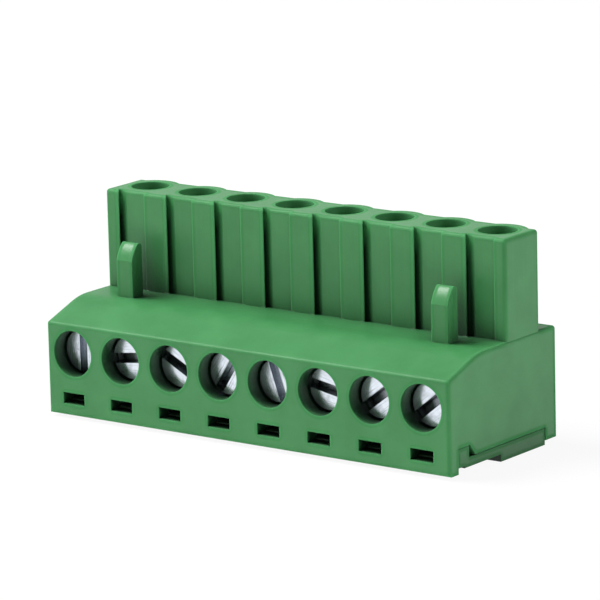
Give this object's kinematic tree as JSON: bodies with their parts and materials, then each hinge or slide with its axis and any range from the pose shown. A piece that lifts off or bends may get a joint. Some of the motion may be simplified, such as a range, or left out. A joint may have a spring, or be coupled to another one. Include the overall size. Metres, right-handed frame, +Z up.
{
  "type": "pluggable terminal block",
  "caption": "Pluggable screw terminal block: a green plug with a row of slotted clamp screws in wells in front, wire entries below and pin sockets on top.",
  "frame": {"origin": "middle of the bounding box's underside, which is the bottom of the wire entry cap", "axes": "+X along the row of poles to the right seen from the screws, +Y from the screw side to the back, +Z up towards the sockets"},
  "size_m": [0.041, 0.0152, 0.018],
  "materials": {
    "housing": "moulded polyamide, satin, fine even texture",
    "cap": "moulded polyamide, satin, fine even texture",
    "screw": "bright zinc plate with turned face",
    "cage": "nickel plate, folded sheet",
    "contact": "matt tin plate over copper alloy"
  },
  "bodies": {
    "housing": {"main_housing": "housing", "wire_entry_cap": "cap", "contact_1": "contact", "contact_2": "contact", "contact_3": "contact", "contact_4": "contact", "contact_5": "contact", "contact_6": "contact", "contact_7": "contact", "contact_8": "contact"},
    "screw_1": {"clamp_screw_1": "screw"},
    "cage_1": {"clamp_cage_1": "cage"},
    "screw_2": {"clamp_screw_2": "screw"},
    "cage_2": {"clamp_cage_2": "cage"},
    "screw_3": {"clamp_screw_3": "screw"},
    "cage_3": {"clamp_cage_3": "cage"},
    "screw_4": {"clamp_screw_4": "screw"},
    "cage_4": {"clamp_cage_4": "cage"},
    "screw_5": {"clamp_screw_5": "screw"},
    "cage_5": {"clamp_cage_5": "cage"},
    "screw_6": {"clamp_screw_6": "screw"},
    "cage_6": {"clamp_cage_6": "cage"},
    "screw_7": {"clamp_screw_7": "screw"},
    "cage_7": {"clamp_cage_7": "cage"},
    "screw_8": {"clamp_screw_8": "screw"},
    "cage_8": {"clamp_cage_8": "cage"}
  },
  "joints": [
    {"name": "screw_turn_1", "type": "hinge", "parent": "housing", "child": "screw_1", "pos_m": [-0.01778, -0.004, 0.00565], "axis": [0, 1, 0], "range_deg": [0, 1584]},
    {"name": "cage_lift_1", "type": "slide", "parent": "housing", "child": "cage_1", "axis": [0, -1, 0], "range_m": [0, 0.0022]},
    {"name": "screw_turn_2", "type": "hinge", "parent": "housing", "child": "screw_2", "pos_m": [-0.0127, -0.004, 0.00565], "axis": [0, 1, 0], "range_deg": [0, 1584]},
    {"name": "cage_lift_2", "type": "slide", "parent": "housing", "child": "cage_2", "axis": [0, -1, 0], "range_m": [0, 0.0022]},
    {"name": "screw_turn_3", "type": "hinge", "parent": "housing", "child": "screw_3", "pos_m": [-0.00762, -0.004, 0.00565], "axis": [0, 1, 0], "range_deg": [0, 1584]},
    {"name": "cage_lift_3", "type": "slide", "parent": "housing", "child": "cage_3", "axis": [0, -1, 0], "range_m": [0, 0.0022]},
    {"name": "screw_turn_4", "type": "hinge", "parent": "housing", "child": "screw_4", "pos_m": [-0.00254, -0.004, 0.00565], "axis": [0, 1, 0], "range_deg": [0, 1584]},
    {"name": "cage_lift_4", "type": "slide", "parent": "housing", "child": "cage_4", "axis": [0, -1, 0], "range_m": [0, 0.0022]},
    {"name": "screw_turn_5", "type": "hinge", "parent": "housing", "child": "screw_5", "pos_m": [0.00254, -0.004, 0.00565], "axis": [0, 1, 0], "range_deg": [0, 1584]},
    {"name": "cage_lift_5", "type": "slide", "parent": "housing", "child": "cage_5", "axis": [0, -1, 0], "range_m": [0, 0.0022]},
    {"name": "screw_turn_6", "type": "hinge", "parent": "housing", "child": "screw_6", "pos_m": [0.00762, -0.004, 0.00565], "axis": [0, 1, 0], "range_deg": [0, 1584]},
    {"name": "cage_lift_6", "type": "slide", "parent": "housing", "child": "cage_6", "axis": [0, -1, 0], "range_m": [0, 0.0022]},
    {"name": "screw_turn_7", "type": "hinge", "parent": "housing", "child": "screw_7", "pos_m": [0.0127, -0.004, 0.00565], "axis": [0, 1, 0], "range_deg": [0, 1584]},
    {"name": "cage_lift_7", "type": "slide", "parent": "housing", "child": "cage_7", "axis": [0, -1, 0], "range_m": [0, 0.0022]},
    {"name": "screw_turn_8", "type": "hinge", "parent": "housing", "child": "screw_8", "pos_m": [0.01778, -0.004, 0.00565], "axis": [0, 1, 0], "range_deg": [0, 1584]},
    {"name": "cage_lift_8", "type": "slide", "parent": "housing", "child": "cage_8", "axis": [0, -1, 0], "range_m": [0, 0.0022]}
  ],
  "couplings": [
    {"joint": "screw_turn_1", "follows": "cage_lift_1", "rad_per_m": 12566},
    {"joint": "screw_turn_2", "follows": "cage_lift_2", "rad_per_m": 12566},
    {"joint": "screw_turn_3", "follows": "cage_lift_3", "rad_per_m": 12566},
    {"joint": "screw_turn_4", "follows": "cage_lift_4", "rad_per_m": 12566},
    {"joint": "screw_turn_5", "follows": "cage_lift_5", "rad_per_m": 12566},
    {"joint": "screw_turn_6", "follows": "cage_lift_6", "rad_per_m": 12566},
    {"joint": "screw_turn_7", "follows": "cage_lift_7", "rad_per_m": 12566},
    {"joint": "screw_turn_8", "follows": "cage_lift_8", "rad_per_m": 12566}
  ]
}
